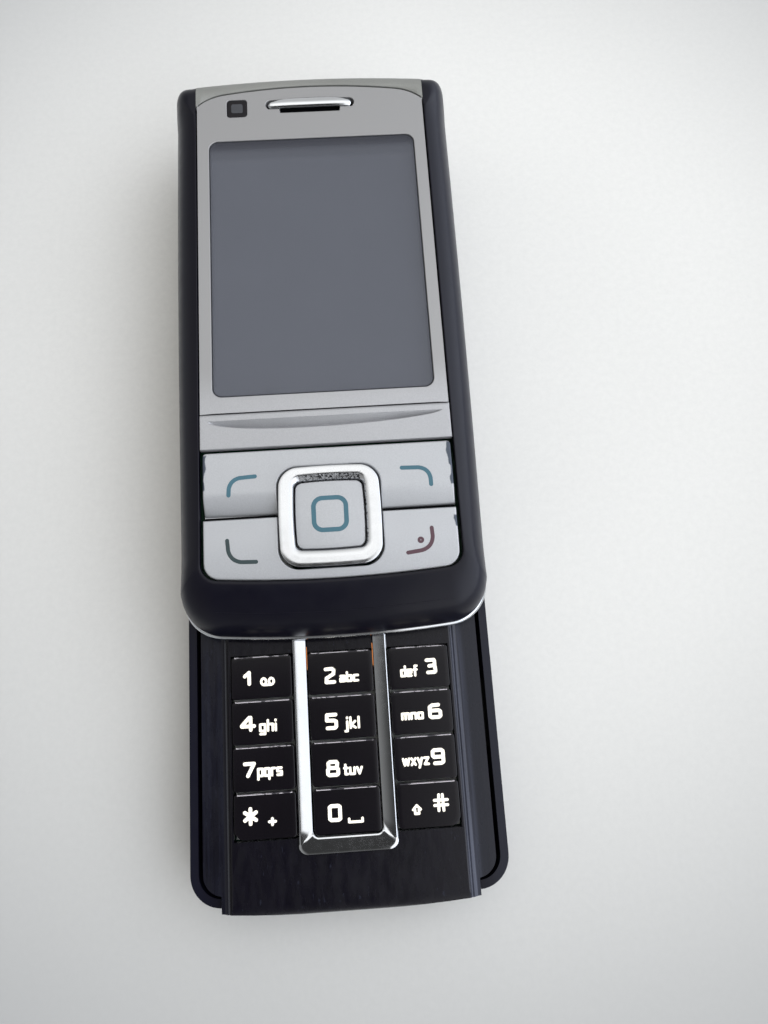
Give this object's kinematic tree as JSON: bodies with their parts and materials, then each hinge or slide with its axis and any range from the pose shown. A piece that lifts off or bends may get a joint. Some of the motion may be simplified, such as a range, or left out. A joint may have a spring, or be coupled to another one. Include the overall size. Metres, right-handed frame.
{
  "type": "slider phone",
  "caption": "Slider mobile phone, slid open: silver face with display, function keys and chrome ring over a dark lower half with number keys.",
  "frame": {"origin": "middle of the battery cover's flat resting face, below the middle of the lower half", "axes": "+X to the right seen from the front, +Y along the phone towards the earpiece, +Z out of the display"},
  "size_m": [0.0463, 0.1352, 0.0208],
  "materials": {
    "plum_paint": "very dark plum-blue paint, soft gloss, worn and scuffed",
    "keypad_plum": "dark blue-black paint, satin, dusty",
    "face_silver": "silver paint with a fine metallic grain",
    "key_silver": "light silver paint with a fine metallic grain, worn at the ends",
    "chrome": "bright chrome plating on plastic",
    "black_gloss": "black gloss",
    "black_plastic": "black moulded plastic",
    "window_glass": "clear display window",
    "display": "unlit blue-grey display",
    "steel": "stamped steel",
    "silicone": "translucent white silicone",
    "runner_plastic": "slippery natural plastic",
    "blackened_steel": "blackened rolled steel",
    "circuit_board": "green circuit board",
    "gold": "gold plated metal and polyimide",
    "battery_wrap": "dark battery wrap"
  },
  "bodies": {
    "base": {"rear_housing": "plum_paint", "keypad_cover": "keypad_plum", "guide_rails": "blackened_steel", "keypad_frame": "chrome", "keypad_mat": "silicone", "keypad_domes": "gold", "main_board": "circuit_board", "card_socket": "steel", "battery": "battery_wrap", "sim_card": "gold", "loudspeaker": "black_plastic", "vibra_motor": "steel", "rear_camera": "black_plastic", "camera_panel": "black_gloss", "charger_jack": "black_plastic", "port_connector": "steel", "antenna": "gold", "housing_screws": "steel", "latch_spring": "steel", "slide_flex": "gold"},
    "slide": {"front_frame": "plum_paint", "top_cap": "face_silver", "display_bezel": "face_silver", "thumb_strip": "face_silver", "display_window": "window_glass", "display_module": "display", "earpiece_bar": "chrome", "earpiece": "black_plastic", "front_camera": "black_gloss", "chin_trim": "chrome", "slide_board": "circuit_board", "function_mat": "silicone", "slide_back": "keypad_plum", "slide_carriage": "steel", "slide_runners": "runner_plastic", "slide_screws": "steel"},
    "key_1": {"key_1": "black_gloss"},
    "key_2": {"key_2": "black_gloss"},
    "key_3": {"key_3": "black_gloss"},
    "key_4": {"key_4": "black_gloss"},
    "key_5": {"key_5": "black_gloss"},
    "key_6": {"key_6": "black_gloss"},
    "key_7": {"key_7": "black_gloss"},
    "key_8": {"key_8": "black_gloss"},
    "key_9": {"key_9": "black_gloss"},
    "key_star": {"key_star": "black_gloss"},
    "key_0": {"key_0": "black_gloss"},
    "key_hash": {"key_hash": "black_gloss"},
    "softkey_bar": {"softkey_bar": "key_silver"},
    "call_bar": {"call_bar": "key_silver"},
    "nav_rocker": {"nav_rocker": "black_plastic"},
    "nav_ring": {"nav_ring": "chrome"},
    "select_key": {"select_key": "key_silver"},
    "volume_key": {"volume_key": "black_plastic"},
    "camera_key": {"camera_key": "black_plastic"},
    "power_key": {"power_key": "black_plastic"},
    "battery_cover": {"battery_cover": "plum_paint"},
    "battery_latch": {"battery_latch": "plum_paint"},
    "card_flap": {"card_flap": "plum_paint"},
    "vibra_weight": {"vibra_weight": "gold"}
  },
  "joints": [
    {"name": "slide_open", "type": "slide", "parent": "base", "child": "slide", "axis": [0, 1, 0], "range_m": [-0.03675, 0], "deforming": ["slide_flex"]},
    {"name": "key_1_press", "type": "slide", "parent": "base", "child": "key_1", "axis": [0, 0, -1], "range_m": [0, 0.0003], "stiffness_N_per_m": 1500},
    {"name": "key_2_press", "type": "slide", "parent": "base", "child": "key_2", "axis": [0, 0, -1], "range_m": [0, 0.0003], "stiffness_N_per_m": 1500},
    {"name": "key_3_press", "type": "slide", "parent": "base", "child": "key_3", "axis": [0, 0, -1], "range_m": [0, 0.0003], "stiffness_N_per_m": 1500},
    {"name": "key_4_press", "type": "slide", "parent": "base", "child": "key_4", "axis": [0, 0, -1], "range_m": [0, 0.0003], "stiffness_N_per_m": 1500},
    {"name": "key_5_press", "type": "slide", "parent": "base", "child": "key_5", "axis": [0, 0, -1], "range_m": [0, 0.0003], "stiffness_N_per_m": 1500},
    {"name": "key_6_press", "type": "slide", "parent": "base", "child": "key_6", "axis": [0, 0, -1], "range_m": [0, 0.0003], "stiffness_N_per_m": 1500},
    {"name": "key_7_press", "type": "slide", "parent": "base", "child": "key_7", "axis": [0, 0, -1], "range_m": [0, 0.0003], "stiffness_N_per_m": 1500},
    {"name": "key_8_press", "type": "slide", "parent": "base", "child": "key_8", "axis": [0, 0, -1], "range_m": [0, 0.0003], "stiffness_N_per_m": 1500},
    {"name": "key_9_press", "type": "slide", "parent": "base", "child": "key_9", "axis": [0, 0, -1], "range_m": [0, 0.0003], "stiffness_N_per_m": 1500},
    {"name": "key_star_press", "type": "slide", "parent": "base", "child": "key_star", "axis": [0, 0, -1], "range_m": [0, 0.0003], "stiffness_N_per_m": 1500},
    {"name": "key_0_press", "type": "slide", "parent": "base", "child": "key_0", "axis": [0, 0, -1], "range_m": [0, 0.0003], "stiffness_N_per_m": 1500},
    {"name": "key_hash_press", "type": "slide", "parent": "base", "child": "key_hash", "axis": [0, 0, -1], "range_m": [0, 0.0003], "stiffness_N_per_m": 1500},
    {"name": "softkey_bar_rock", "type": "hinge", "parent": "slide", "child": "softkey_bar", "pos_m": [0, 0.01115, 0.0186], "axis": [0, 1, 0], "range_deg": [-1, 1], "stiffness_Nm_per_rad": 0.6},
    {"name": "call_bar_rock", "type": "hinge", "parent": "slide", "child": "call_bar", "pos_m": [0, 0.00122, 0.0186], "axis": [0, 1, 0], "range_deg": [-1, 1], "stiffness_Nm_per_rad": 0.6},
    {"name": "nav_rocker_tilt", "type": "hinge", "parent": "slide", "child": "nav_rocker", "pos_m": [0, 0.00605, 0.0181], "axis": [1, 0, 0], "range_deg": [-1.5, 1.5], "stiffness_Nm_per_rad": 0.3},
    {"name": "nav_ring_tilt", "type": "hinge", "parent": "nav_rocker", "child": "nav_ring", "pos_m": [0, 0.00605, 0.0187], "axis": [0, 1, 0], "range_deg": [-1.5, 1.5], "stiffness_Nm_per_rad": 0.3},
    {"name": "select_press", "type": "slide", "parent": "slide", "child": "select_key", "axis": [0, 0, -1], "range_m": [0, 0.0003], "stiffness_N_per_m": 1500},
    {"name": "volume_rock", "type": "hinge", "parent": "base", "child": "volume_key", "pos_m": [0.0216, 0.017, 0.0047], "axis": [0, 0, 1], "range_deg": [-1.2, 1.2], "stiffness_Nm_per_rad": 0.3},
    {"name": "camera_press", "type": "slide", "parent": "base", "child": "camera_key", "axis": [-1, 0, 0], "range_m": [0, 0.0003], "stiffness_N_per_m": 1500},
    {"name": "power_press", "type": "slide", "parent": "slide", "child": "power_key", "axis": [0, -1, 0], "range_m": [0, 0.0003], "stiffness_N_per_m": 1500},
    {"name": "battery_cover_slide", "type": "slide", "parent": "base", "child": "battery_cover", "axis": [0, -1, 0], "range_m": [0, 0.07]},
    {"name": "latch_press", "type": "slide", "parent": "base", "child": "battery_latch", "axis": [0, 0, 1], "range_m": [0, 0.0008], "stiffness_N_per_m": 600, "deforming": ["latch_spring"]},
    {"name": "card_flap_swing", "type": "hinge", "parent": "base", "child": "card_flap", "pos_m": [-0.0229, -0.03605, 0.0047], "axis": [0, 0, 1], "range_deg": [0, 80]},
    {"name": "weight_spin", "type": "hinge", "parent": "base", "child": "vibra_weight", "pos_m": [0.0156, 0.022, 0.0035], "axis": [0, 1, 0], "continuous": true}
  ]
}
